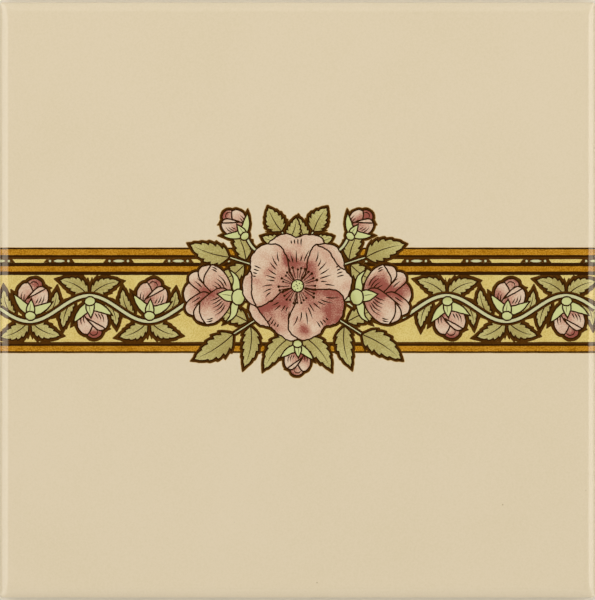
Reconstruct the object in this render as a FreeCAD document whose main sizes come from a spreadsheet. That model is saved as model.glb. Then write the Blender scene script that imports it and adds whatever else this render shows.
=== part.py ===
import FreeCAD, Part
import math
import os
import Sketcher

# A dust-pressed wall tile, fired as one piece: a square slab with a flat glazed face,
# a cushion edge that falls to straight sides, and a keyed back for the adhesive.
# The origin is the centre of the back, +Z points out of the glazed face and +X runs
# along the printed band.

# Driving dimensions, in millimetres and degrees.
DIMENSIONS = [
    ("tile_width", 152.0),  # along the band
    ("tile_height", 152.0),  # across the band
    ("tile_thickness", 7.0),
    ("corner_radius", 0.7),  # the four upright corners
    ("cushion_run", 2.8),  # how far in from the side the face starts to fall
    ("cushion_drop", 0.95),  # how far it has fallen where it meets the side
    ("face_corner", 2.6),  # corners of the flat face, rounder than the tile's own
    ("shoulder_radius", 0.45),  # eases the fall into the side
    ("back_bevel", 0.5),  # pressed arris round the back
    ("back_rim", 9.5),  # plain margin of the back around the grooves
    ("groove_width", 7.0),  # at the back's surface
    ("groove_depth", 0.7),
    ("groove_draft", 20.0),  # how far the groove walls lean, so that the die lets go
    ("groove_count", 10),
]

CUSHION_STEPS = 5  # level lines that the fall of the edge is drawn through
FLAT = 1e-4  # two heights closer than this are level


def make_sheet(doc):
    """The spreadsheet, with one named cell for each driving dimension."""
    sheet = doc.addObject("Spreadsheet::Sheet", "sizes")
    for row, (name, value) in enumerate(DIMENSIONS, start=1):
        sheet.set(f"A{row}", name)
        sheet.set(f"B{row}", str(value))
        sheet.setAlias(f"B{row}", name)
    doc.recompute()
    return sheet


def origin_feature(body, role):
    return next(feature for feature in body.Origin.OriginFeatures if feature.Role == role)


def new_sketch(body, name, height):
    """A sketch parallel to the tile's back, at a height that an expression gives."""
    sketch = body.newObject("Sketcher::SketchObject", name)
    sketch.AttachmentSupport = (origin_feature(body, "XY_Plane"), [""])
    sketch.MapMode = "FlatFace"
    sketch.setExpression("AttachmentOffset.Base.z", height)
    return sketch


def constrain(sketch, kind, *places):
    return sketch.addConstraint(Sketcher.Constraint(kind, *places))


def dimension(sketch, name, expression, kind, *places):
    """A named dimension of a sketch, tied to the spreadsheet."""
    value = sketch.evalExpression(expression)
    index = constrain(sketch, kind, *places, value)
    sketch.renameConstraint(index, name)
    sketch.setExpression(f"Constraints.{name}", expression)


def line(x0, y0, x1, y1):
    return Part.LineSegment(FreeCAD.Vector(x0, y0, 0), FreeCAD.Vector(x1, y1, 0))


def arc(x, y, radius, start, turn):
    circle = Part.Circle(FreeCAD.Vector(x, y, 0), FreeCAD.Vector(0, 0, 1), radius)
    return Part.ArcOfCircle(circle, math.radians(start), math.radians(start + turn))


def plan_sketch(body, name, height, width_size, height_size, corner_size):
    """A rectangle with round corners, centred on the origin."""
    sketch = new_sketch(body, name, height)
    radius = sketch.evalExpression(corner_size)
    x = sketch.evalExpression(width_size) / 2
    y = sketch.evalExpression(height_size) / 2
    inner_x = x - radius
    inner_y = y - radius
    sketch.addGeometry([
        line(-inner_x, -y, inner_x, -y),
        arc(inner_x, -inner_y, radius, 270, 90),
        line(x, -inner_y, x, inner_y),
        arc(inner_x, inner_y, radius, 0, 90),
        line(inner_x, y, -inner_x, y),
        arc(-inner_x, inner_y, radius, 90, 90),
        line(-x, inner_y, -x, -inner_y),
        arc(-inner_x, -inner_y, radius, 180, 90),
    ], False)
    for piece in range(8):
        constrain(sketch, "Tangent", piece, 2, (piece + 1) % 8, 1)
    for side, way in ((0, "Horizontal"), (2, "Vertical"), (4, "Horizontal"), (6, "Vertical")):
        constrain(sketch, way, side)
    for corner in (3, 5, 7):
        constrain(sketch, "Equal", 1, corner)
    constrain(sketch, "Symmetric", 3, 3, 7, 3, -1, 1)
    dimension(sketch, "corner", corner_size, "Radius", 1)
    dimension(sketch, "width", width_size, "DistanceX", 6, 1, 2, 2)
    dimension(sketch, "height", height_size, "DistanceY", 0, 1, 4, 2)
    return sketch


def groove_sketch(body):
    """The first keying groove of the row: a long slot with round ends."""
    sketch = new_sketch(body, "groove_plan", "0 mm")
    end_radius = "sizes.groove_width / 2"
    offset = "sizes.tile_width / 2 - sizes.back_rim - sizes.groove_width / 2"
    run = "sizes.tile_height - 2 * sizes.back_rim - sizes.groove_width"
    radius = sketch.evalExpression(end_radius)
    x = -sketch.evalExpression(offset)
    y = sketch.evalExpression(run) / 2
    sketch.addGeometry([
        arc(x, y, radius, 0, 180),
        line(x - radius, y, x - radius, -y),
        arc(x, -y, radius, 180, 180),
        line(x + radius, -y, x + radius, y),
    ], False)
    for piece in range(4):
        constrain(sketch, "Tangent", piece, 2, (piece + 1) % 4, 1)
    constrain(sketch, "Symmetric", 0, 3, 2, 3, -1)
    dimension(sketch, "end_radius", end_radius, "Radius", 0)
    dimension(sketch, "offset", offset, "DistanceX", 0, 3, -1, 1)
    dimension(sketch, "run", run, "DistanceY", 2, 3, 0, 3)
    return sketch


def level_edges(feature, height):
    """Names of the feature's edges that lie flat at a height."""
    names = []
    for number, edge in enumerate(feature.Shape.Edges, start=1):
        box = edge.BoundBox
        if abs(box.ZMin - height) < FLAT and abs(box.ZMax - height) < FLAT:
            names.append(f"Edge{number}")
    return names


def ease(body, kind, name, base, height, size, expression):
    """A fillet or chamfer on all of the feature's edges at a height."""
    feature = body.newObject(f"PartDesign::{kind}", name)
    feature.Base = (base, level_edges(base, height))
    feature.setExpression(size, expression)
    body.Document.recompute()
    return feature


def level_line(body, step):
    """One level line of the cushion edge: it falls as the square of the way out to the side."""
    share = step / CUSHION_STEPS
    inset = f"2 * sizes.cushion_run * {share}"
    return plan_sketch(
        body, f"level_line_{step}",
        f"sizes.tile_thickness - sizes.cushion_drop * {(1 - share) ** 2}",
        f"sizes.tile_width - {inset}",
        f"sizes.tile_height - {inset}",
        f"sizes.corner_radius + (sizes.face_corner - sizes.corner_radius) * {share}")


def press_slab(body):
    """The slab up to the shoulder, and above it the fall of the cushion edge."""
    slab = body.newObject("PartDesign::Pad", "slab")
    slab.Profile = plan_sketch(
        body, "outline", "0 mm", "sizes.tile_width", "sizes.tile_height", "sizes.corner_radius")
    slab.setExpression("Length", "sizes.tile_thickness - sizes.cushion_drop")
    body.Document.recompute()
    fall = body.newObject("PartDesign::AdditiveLoft", "cushion_fall")
    fall.Profile = level_line(body, 0)
    fall.Sections = [level_line(body, step) for step in range(1, CUSHION_STEPS + 1)]
    body.Document.recompute()
    return fall


def key_back(body):
    """The row of shallow grooves that the adhesive grips."""
    groove = body.newObject("PartDesign::Pocket", "groove")
    groove.Profile = groove_sketch(body)
    groove.Reversed = True
    groove.setExpression("Length", "sizes.groove_depth")
    groove.setExpression("TaperAngle", "-sizes.groove_draft")
    body.Document.recompute()
    grooves = body.newObject("PartDesign::LinearPattern", "grooves")
    grooves.Originals = [groove]
    grooves.Direction = (origin_feature(body, "X_Axis"), [""])
    grooves.setExpression("Length", "sizes.tile_width - 2 * sizes.back_rim - sizes.groove_width")
    grooves.setExpression("Occurrences", "sizes.groove_count")
    body.Tip = grooves
    body.Document.recompute()


def make_tile(doc, sheet):
    body = doc.addObject("PartDesign::Body", "tile")
    body.Label = "border_tile"
    shoulder = sheet.tile_thickness - sheet.cushion_drop
    shape = press_slab(body)
    shape = ease(body, "Fillet", "shoulder", shape, shoulder, "Radius", "sizes.shoulder_radius")
    ease(body, "Chamfer", "back_arris", shape, 0.0, "Size", "sizes.back_bevel")
    key_back(body)
    return body


def check(doc, bodies):
    """Stops before anything is written if a feature failed or a solid is not sound."""
    for item in doc.Objects:
        if {"Invalid", "Error"} & set(item.State):
            raise RuntimeError(f"{item.Label} did not compute: {item.State}")
    for body in bodies:
        if body.Shape.isNull() or not body.Shape.isValid() or len(body.Shape.Solids) != 1:
            raise RuntimeError(f"{body.Label} is not one sound solid")


def main():
    doc = FreeCAD.newDocument("border_tile")
    sheet = make_sheet(doc)
    bodies = [make_tile(doc, sheet)]
    check(doc, bodies)
    os.makedirs("parts", exist_ok=True)
    for body in bodies:
        body.Shape.exportStep(f"parts/{body.Label}.step")
        print(f"{body.Label}: {body.Shape.Volume:.1f} mm3")


main()
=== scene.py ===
import bpy
import math
import random
import numpy as np
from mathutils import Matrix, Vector
from mathutils.geometry import delaunay_2d_cdt


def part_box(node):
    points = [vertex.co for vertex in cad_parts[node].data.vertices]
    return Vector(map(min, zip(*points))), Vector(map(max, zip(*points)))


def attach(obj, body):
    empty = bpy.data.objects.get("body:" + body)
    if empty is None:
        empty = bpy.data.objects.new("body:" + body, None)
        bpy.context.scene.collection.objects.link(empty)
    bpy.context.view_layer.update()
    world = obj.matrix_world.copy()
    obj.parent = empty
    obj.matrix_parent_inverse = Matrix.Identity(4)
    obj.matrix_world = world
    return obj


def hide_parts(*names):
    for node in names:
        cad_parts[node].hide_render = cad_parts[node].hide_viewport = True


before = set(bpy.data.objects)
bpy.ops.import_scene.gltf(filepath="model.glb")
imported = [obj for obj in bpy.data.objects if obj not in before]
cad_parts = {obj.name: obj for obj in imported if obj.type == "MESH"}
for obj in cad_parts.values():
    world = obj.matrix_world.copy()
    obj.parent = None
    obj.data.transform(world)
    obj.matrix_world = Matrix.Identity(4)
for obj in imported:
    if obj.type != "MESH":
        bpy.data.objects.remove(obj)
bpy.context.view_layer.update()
mm = 0.001
lowCorner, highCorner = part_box("border_tile")
halfSide = (highCorner[0] - lowCorner[0]) / 2 / mm
thickness = (highCorner[2] - lowCorner[2]) / mm
tiny = 1e-9  # keeps a division sound
print("frame: tile", round(2 * halfSide, 2), "mm square,", round(thickness, 2), "mm thick")

# Pen. The drawing is in millimetres, with the middle of the face at 0, 0.

paints = [
    "glaze", "bleed", "ink", "contour", "gold", "ground",
    "petal", "leaf", "sepal", "stem", "side", "biscuit",
]
pen = {
    "line": 0.38,  # ink line round each colour
    "fine": 0.27,  # hatching
    "contour": 0.80,  # brown edge outside the ink line
    "sprayContour": 0.76,  # share of it round the spray
    "stemContour": 0.8,  # and along a stem
    "contourStep": 0.3,  # between the points of a contour
    "contourLeast": 8,  # points of the smallest one
    "contourEase": 2,  # how often it is smoothed, as a broad pen rounds its turns
    "bleed": 0.12,  # how far the dark colours run into the bare glaze
    "stray": 0.04,  # how far an edge strays from its true course
    "strayWaves": (3.1, 1.7, 1.1),
    "uneven": 0.16,  # how much a line swells and thins, as a share of its width
    "unevenWaves": (5.3, 2.9, 1.9),
    "waveStep": 0.4,  # way between two points of an outline, as the waves take it
    "mitre": 0.45,  # least cosine at a corner, so that its line doesn't shoot out
    "perSpan": 6,  # points between two knots of an outline
    "seed": 11,
}
strokes = {
    "perSpan": 5,
    "full": 1.25,  # widest place, as a share of the pen's width
    "blunt": 0.25,  # width of the start, as a share of the widest place
    "press": 1.6,  # how soon a stroke swells
    "runOut": 2.2,  # how late it runs out
    "tip": 0.12,
}
penHand = random.Random(pen["seed"])


def hermite(here, there, leave, reach, t):
    return (
        (2 * t**3 - 3 * t**2 + 1) * here
        + (t**3 - 2 * t**2 + t) * leave
        + (3 * t**2 - 2 * t**3) * there
        + (t**3 - t**2) * reach
    )


def loopThrough(points, perSpan):
    # closed curve through the points; a point with a third value stays a sharp corner
    spots = np.array([p[:2] for p in points], float)
    sharp = [len(p) > 2 for p in points]
    t = np.linspace(0, 1, perSpan, endpoint=False)[:, None]
    spans = []
    for i, here in enumerate(spots):
        j = (i + 1) % len(spots)
        there, after = spots[j], spots[(j + 1) % len(spots)]
        leave = there - here if sharp[i] else (there - spots[i - 1]) / 2
        reach = there - here if sharp[j] else (after - here) / 2
        spans.append(hermite(here, there, leave, reach, t))
    return np.concatenate(spans)


def curveThrough(points, perSpan):
    # open curve through the points
    spots = np.array(points, float)
    ends = np.concatenate([2 * spots[:1] - spots[1:2], spots, 2 * spots[-1:] - spots[-2:-1]])
    t = np.linspace(0, 1, perSpan, endpoint=False)[:, None]
    spans = []
    for before, here, there, after in zip(ends, ends[1:], ends[2:], ends[3:]):
        spans.append(hermite(here, there, (there - before) / 2, (after - here) / 2, t))
    return np.concatenate(spans + [spots[-1:]])


def ribbon(path, width):
    # outline of a band along an open path
    along = np.gradient(path, axis=0)
    along /= np.linalg.norm(along, axis=1)[:, None]
    aside = np.stack([-along[:, 1], along[:, 0]], axis=1)
    half = aside * np.broadcast_to(width, len(path))[:, None] / 2
    return np.concatenate([path - half, (path + half)[::-1]])


def waver(count, spacing, waves):
    # slow random wave along a line, between about -1 and 1
    s = np.arange(count) * spacing
    phases = [penHand.uniform(0, 2 * math.pi) for _ in waves]
    return sum(np.sin(2 * math.pi * s / w + p) for w, p in zip(waves, phases)) / len(waves)


def outwards(outline):
    # at each point of a closed outline, the unit vector out of it and how far a mitre reaches
    after = np.roll(outline, -1, axis=0)
    area = (outline[:, 0] * after[:, 1] - outline[:, 1] * after[:, 0]).sum()
    along = after - outline
    along /= np.maximum(np.linalg.norm(along, axis=1), tiny)[:, None]
    normal = np.stack([along[:, 1], -along[:, 0]], axis=1) * np.sign(area)
    way = normal + np.roll(normal, 1, axis=0)
    way /= np.maximum(np.linalg.norm(way, axis=1), tiny)[:, None]
    return way, 1 / np.maximum((way * normal).sum(axis=1), pen["mitre"])


def shape(outline, paint, line=0.0, contour=0.0, darkEnd=0, paleEnd=None, depth=0.5, layer=0):
    # one flat colour; its shade runs from the point darkEnd to the point paleEnd of its outline
    return {
        "outline": np.asarray(outline, float),
        "paint": paints.index(paint),
        "line": line,
        "contour": contour,
        "darkEnd": darkEnd,
        "paleEnd": len(outline) // 2 if paleEnd is None else paleEnd,
        "depth": depth,
        "layer": layer,
    }


def colour(points, paint, depth, dark, pale, perSpan=pen["perSpan"], stray=pen["stray"]):
    # a colour with its ink line and the brown contour outside, darkest and palest at two of its knots
    outline = loopThrough(points, perSpan)
    sway = stray * waver(len(outline), pen["waveStep"], pen["strayWaves"])
    outline = outline + outwards(outline)[0] * sway[:, None]
    return shape(outline, paint, pen["line"], pen["contour"], dark * perSpan, pale * perSpan, depth)


def stroke(points, width=pen["fine"], blunt=strokes["blunt"]):
    # a pen stroke that runs out to a point
    path = curveThrough(points, strokes["perSpan"])
    t = np.linspace(0, 1, len(path))
    swell = blunt + (1 - blunt) * np.sin(np.pi * np.minimum(t * strokes["press"], 0.5))
    swell = swell * (1 - t ** strokes["runOut"]) + strokes["tip"]
    return shape(ribbon(path, width * strokes["full"] * swell), "ink")


def fan(count, first, step):
    # strokes side by side, each moved on from the one before
    return [stroke(np.array(first) + np.array(step) * n) for n in range(count)]


def dot(at, radius, paint="ink", line=0.0, sides=8, layer=0):
    turns = np.linspace(0, 2 * np.pi, sides, endpoint=False)
    outline = np.stack([np.cos(turns), np.sin(turns)], axis=1) * radius + np.array(at)
    return shape(outline, paint, line, layer=layer)


def stem(points, width):
    path = curveThrough(points, pen["perSpan"])
    return shape(ribbon(path, width), "stem", pen["line"], pen["contour"] * pen["stemContour"])


def place(shapes, at, turn=0.0, size=1.0, mirror=False):
    a = math.radians(turn)
    spin = np.array([[math.cos(a), math.sin(a)], [-math.sin(a), math.cos(a)]]) * size
    flip = np.array([-1.0 if mirror else 1.0, 1.0])
    return [dict(s, outline=(s["outline"] * flip) @ spin + np.array(at, float)) for s in shapes]


# Geometry Nodes trees that repeat a motif

def add(tree, kind, values=None, **settings):
    node = tree.nodes.new(kind)
    for name, value in settings.items():
        setattr(node, name, value)
    for socket, value in (values or {}).items():
        if isinstance(value, bpy.types.NodeSocket):
            tree.links.new(value, node.inputs[socket])
        else:
            node.inputs[socket].default_value = value
    return node


def maths(tree, operation, a, b, c=0.0):
    return add(tree, "ShaderNodeMath", {0: a, 1: b, 2: c}, operation=operation).outputs[0]


def emptyTree(name, inputs):
    tree = bpy.data.node_groups.new(name, "GeometryNodeTree")
    tree.interface.new_socket("Motif", in_out="INPUT", socket_type="NodeSocketGeometry")
    for label, kind in inputs:
        tree.interface.new_socket(label, in_out="INPUT", socket_type="NodeSocket" + kind)
    tree.interface.new_socket("Material", in_out="INPUT", socket_type="NodeSocketMaterial")
    tree.interface.new_socket("Print", in_out="OUTPUT", socket_type="NodeSocketGeometry")
    return tree, tree.nodes.new("NodeGroupInput").outputs


def endTree(tree, given, instances):
    whole = add(tree, "GeometryNodeRealizeInstances", {"Geometry": instances}).outputs[0]
    dressed = add(tree, "GeometryNodeSetMaterial", {"Geometry": whole, "Material": given["Material"]})
    add(tree, "NodeGroupOutput", {0: dressed.outputs[0]})
    return tree


def rowTree():
    # copies in a row along X, every second one turned over if asked
    tree, given = emptyTree("rowAlongX", [
        ("Count", "Int"), ("Pitch", "Float"), ("Start", "Vector"), ("Turn Over", "Bool"), ("First", "Int"),
    ])
    step = add(tree, "ShaderNodeCombineXYZ", {"X": given["Pitch"]}).outputs[0]
    line = add(tree, "GeometryNodeMeshLine", {
        "Count": given["Count"], "Start Location": given["Start"], "Offset": step,
    }, mode="OFFSET").outputs[0]
    number = maths(tree, "ADD", add(tree, "GeometryNodeInputIndex").outputs[0], given["First"])
    over = maths(tree, "MULTIPLY", maths(tree, "MODULO", number, 2.0), given["Turn Over"])
    upright = maths(tree, "MULTIPLY_ADD", over, -2.0, 1.0)
    scale = add(tree, "ShaderNodeCombineXYZ", {"X": 1.0, "Y": upright, "Z": 1.0}).outputs[0]
    copies = add(tree, "GeometryNodeInstanceOnPoints", {
        "Points": line, "Instance": given["Motif"], "Scale": scale,
    })
    return endTree(tree, given, copies.outputs[0])


def ringTree():
    # copies turned about one centre, each a little longer or shorter and out of step
    tree, given = emptyTree("ringAboutCentre", [
        ("Count", "Int"), ("Centre", "Vector"), ("Shortest", "Float"), ("Longest", "Float"),
        ("Out Of Step", "Float"), ("Seed", "Int"),
    ])

    def anyBetween(low, high):
        return add(tree, "FunctionNodeRandomValue", {2: low, 3: high, "Seed": given["Seed"]}).outputs[1]

    spots = add(tree, "GeometryNodePoints", {"Count": given["Count"], "Position": given["Centre"]})
    share = maths(tree, "DIVIDE", add(tree, "GeometryNodeInputIndex").outputs[0], given["Count"])
    shift = anyBetween(maths(tree, "MULTIPLY", given["Out Of Step"], -1.0), given["Out Of Step"])
    turn = maths(tree, "MULTIPLY_ADD", share, 2 * math.pi, shift)
    copies = add(tree, "GeometryNodeInstanceOnPoints", {
        "Points": spots.outputs[0],
        "Instance": given["Motif"],
        "Rotation": add(tree, "ShaderNodeCombineXYZ", {"Z": turn}).outputs[0],
        "Scale": anyBetween(given["Shortest"], given["Longest"]),
    })
    return endTree(tree, given, copies.outputs[0])


shapeFields = {
    "paint": "INT", "layer": "INT", "line": "FLOAT", "contour": "FLOAT",
    "darkEnd": "INT", "paleEnd": "INT", "depth": "FLOAT",
}


def repeated(name, motif, tree, inputs):
    # the motif goes in as flat faces with their fields as attributes, and comes back as more shapes
    mesh = bpy.data.meshes.new(name)
    starts = np.cumsum([0] + [len(s["outline"]) for s in motif])
    places = np.concatenate([s["outline"] for s in motif])
    faces = [range(a, b) for a, b in zip(starts, starts[1:])]
    mesh.from_pydata([(x, y, 0) for x, y in places], [], faces)
    for field, kind in shapeFields.items():
        mesh.attributes.new(field, kind, "FACE").data.foreach_set("value", [s[field] for s in motif])
    piece = bpy.data.objects.new(name, mesh)
    bpy.context.scene.collection.objects.link(piece)
    modifier = piece.modifiers.new(name, "NODES")
    modifier.node_group = tree
    for socket in tree.interface.items_tree:
        if socket.in_out == "INPUT" and socket.name in inputs:
            modifier[socket.identifier] = inputs[socket.name]
    made = bpy.data.meshes.new_from_object(piece.evaluated_get(bpy.context.evaluated_depsgraph_get()))
    shapes = []
    for face in made.polygons:
        outline = np.array([made.vertices[v].co[:2] for v in face.vertices])
        fields = {field: made.attributes[field].data[face.index].value for field in shapeFields}
        shapes.append(dict(fields, outline=outline))
    piece.modifiers.remove(modifier)
    bpy.data.objects.remove(piece)
    bpy.data.meshes.remove(made)
    bpy.data.meshes.remove(mesh)
    print("motif:", name, len(shapes), "shapes")
    return sorted(shapes, key=lambda s: s["layer"])


def inRow(name, motif, tree, material, count, pitch, start, turnOver=False, first=0):
    return repeated(name, motif, tree, {
        "Count": count, "Pitch": pitch, "Start": (*start, 0.0), "Turn Over": turnOver, "First": first,
        "Material": material,
    })


# Ruled stripes of the band, measured on the face

band = {
    "top": 13.34,
    "rows": [  # colour and height, from the top down
        ("ink", 0.42), ("gold", 1.44), ("ink", 0.56), ("contour", 0.53), ("ground", 0.88), ("ink", 0.91),
        ("gold", 1.32), ("ink", 0.93), ("ground", 17.05), ("contour", 0.52), ("ink", 0.51), ("gold", 1.34),
        ("ink", 0.43),
    ],
    "beadRow": 4,  # which rows hold the beads and the frieze
    "friezeRow": 8,
    "step": 1.6,  # between the points of a ruled edge
    "overhang": 0.5,  # past the tile's sides
    "stray": 0.035,
    "waves": (11.0, 6.3, 3.7),
}


def rowSpan(row):
    high = band["top"] - sum(height for paint, height in band["rows"][:row])
    return high - band["rows"][row][1], high


def ruledStripes():
    count = int(2 * halfSide / band["step"]) + 1
    end = halfSide + band["overhang"]
    x = np.linspace(-end, end, count)
    levels = [band["top"]] + [rowSpan(row)[0] for row in range(len(band["rows"]))]
    edges = []
    for level in levels:
        sway = band["stray"] * waver(count, band["step"], band["waves"])
        edges.append(np.stack([x, level + sway], axis=1))
    stripes = []
    for (paint, height), upper, lower in zip(band["rows"], edges, edges[1:]):
        stripes.append(shape(np.concatenate([lower, upper[::-1]]), paint))
    run = np.array([0.0, pen["bleed"]])
    return stripes, shape(np.concatenate([edges[-1] - run, (edges[0] + run)[::-1]]), "bleed")


# Rose leaf

leafSizes = {
    "teeth": 5,
    "toothed": (0.06, 0.92),  # where along the leaf the teeth start and end
    # round one tooth: place along it, share of the half width there, and whether it is a sharp corner
    "tooth": [(0.45, 1.02, False), (0.95, 1.13, True), (0.99, 0.86, True)],
    "bow": 0.10,  # how far the midrib bends, as a share of the length
    "widest": 0.72,  # under 1 puts the widest place nearer to the stalk
    "fullness": 0.8,  # under 1 makes the leaf fuller at its ends
    "depth": 0.5,
    "rib": 0.21,
    "ribStops": (0.0, 0.3, 0.6, 0.88),
    "ribBlunt": 0.9,
    "perSpan": 3,
}


def roseLeaf(base, tip, width, bow=leafSizes["bow"], depth=leafSizes["depth"]):
    base, tip = np.array(base, float), np.array(tip, float)
    run = tip - base
    across = np.array([-run[1], run[0]])
    first, last = leafSizes["toothed"]
    step = (last - first) / leafSizes["teeth"]

    def spot(t, side, share=1.0):
        rib = base + run * t + across * bow * 4 * t * (1 - t)
        half = width / 2 * math.sin(math.pi * t ** leafSizes["widest"]) ** leafSizes["fullness"]
        return rib + across / np.linalg.norm(run) * side * half * share

    def toothedSide(side):
        points = []
        for k in range(leafSizes["teeth"]):
            for along, share, sharp in leafSizes["tooth"]:
                at = spot(first + step * (k + along), side, share)
                points.append((*at, 1) if sharp else tuple(at))
        return points

    points = [(*base, 1)] + toothedSide(1) + [(*tip, 1)] + toothedSide(-1)[::-1]
    rib = [spot(t, 0) for t in leafSizes["ribStops"]]
    return [
        colour(points, "leaf", depth, 0, len(points) // 2, leafSizes["perSpan"]),
        stroke(rib, leafSizes["rib"], leafSizes["ribBlunt"]),
    ]


# Sprig: an end leaf and two side leaves on one stalk, in shares of its length

sprigSizes = {
    "stalk": 0.62,  # its width
    "stalkKnots": (0.0, 0.24, 0.48),
    "fork": 0.16,  # where the side leaves start
    "spread": 48,  # and how far they turn away, in degrees
    "sideLeaf": (0.04, 0.56),  # from the fork to the leaf's base and to its tip
    "sideWidth": 0.78,  # share of the end leaf's width
    "sideBow": 0.08,
    "sideDepth": 0.42,
    "endLeaf": 0.42,  # where the end leaf starts
    "endBow": 0.05,
    "endDepth": 0.55,
}


def leafSprig(base, tip, width):
    base, tip = np.array(base, float), np.array(tip, float)
    run = tip - base
    shapes = [stem([base + run * t for t in sprigSizes["stalkKnots"]], sprigSizes["stalk"])]
    fork = base + run * sprigSizes["fork"]
    start, end = sprigSizes["sideLeaf"]
    for side in (1, -1):
        a = math.radians(sprigSizes["spread"]) * side
        way = np.array([[math.cos(a), -math.sin(a)], [math.sin(a), math.cos(a)]]) @ run
        shapes += roseLeaf(
            fork + way * start, fork + way * end, width * sprigSizes["sideWidth"],
            sprigSizes["sideBow"] * side, sprigSizes["sideDepth"],
        )
    base = base + run * sprigSizes["endLeaf"]
    return shapes + roseLeaf(base, tip, width, sprigSizes["endBow"], sprigSizes["endDepth"])


# Rose bud on its stalk, about 11 mm high. After each paint come its depth, and its dark and pale knot.

def roseBud():
    innerRoll = [(-1.9, 6.4), (-2.4, 8.6), (-1.3, 10.4), (0.4, 10.9), (2.0, 10.1), (2.4, 8.3), (1.6, 6.4)]
    leftPetal = [
        (-0.4, 1.6), (-2.7, 2.6), (-4.0, 4.9), (-4.2, 7.2), (-3.2, 9.0),
        (-1.8, 9.6, 1), (-0.7, 8.4), (0.2, 6.6), (1.2, 4.6), (1.0, 2.2),
    ]
    rightPetal = [
        (0.5, 1.5), (2.9, 2.4), (4.2, 4.7), (4.3, 7.0), (3.3, 8.7),
        (1.8, 8.9), (0.2, 7.6), (-1.3, 5.6), (-2.1, 3.6), (-1.2, 2.0),
    ]
    turnedEdge = [(3.4, 8.6, 1), (1.8, 8.9), (0.2, 7.6), (-1.6, 5.0, 1), (0.3, 6.3), (2.0, 7.5)]
    leftSepal = [
        (-0.5, 0.8), (-2.4, 1.5), (-4.2, 3.4), (-5.4, 6.0, 1), (-3.3, 4.9), (-1.7, 3.9), (-0.2, 2.9),
    ]
    rightSepal = [(0.5, 0.8), (2.5, 1.3), (4.4, 2.9), (5.8, 5.2, 1), (3.6, 4.4), (1.8, 3.6), (0.2, 2.9)]
    midSepal = [(-0.9, 0.9), (-1.3, 2.6), (-0.3, 5.2, 1), (0.9, 2.8), (0.8, 0.9)]
    hip = [(-1.2, -0.3), (-1.5, 0.8), (-0.6, 1.6), (0.6, 1.6), (1.5, 0.8), (1.2, -0.3), (0, -0.8)]
    sepalFold = 0.14
    return [
        colour(innerRoll, "petal", 0.95, 3, 0),
        stroke([(-1.3, 9.0), (-0.5, 9.9), (0.7, 9.8), (1.1, 8.9), (0.3, 8.3)]),
        colour(leftPetal, "petal", 0.85, 0, 4),
        *fan(2, [(-2.9, 4.4), (-3.2, 5.6), (-3.0, 6.8)], [(0.7, -0.2), (0.8, -0.2), (0.8, -0.4)]),
        colour(rightPetal, "petal", 0.75, 8, 3),
        colour(turnedEdge, "petal", 0.12, 0, 3),
        stroke([(2.6, 4.2), (3.1, 5.4), (3.1, 6.8)]),
        stroke([(1.8, 4.1), (2.3, 5.2), (2.4, 6.2)]),
        stroke([(1.0, 4.0), (1.4, 4.9), (1.6, 5.6)]),
        colour(leftSepal, "sepal", 0.5, 0, 3),
        colour(rightSepal, "sepal", 0.5, 0, 3),
        colour(midSepal, "sepal", 0.5, 0, 2),
        colour(hip, "sepal", 0.8, 6, 2),
        stroke([(-0.3, 1.8), (-0.35, 2.8), (-0.3, 3.9)], sepalFold),
    ]


# Half-open rose from the side, about 15 mm high

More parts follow.
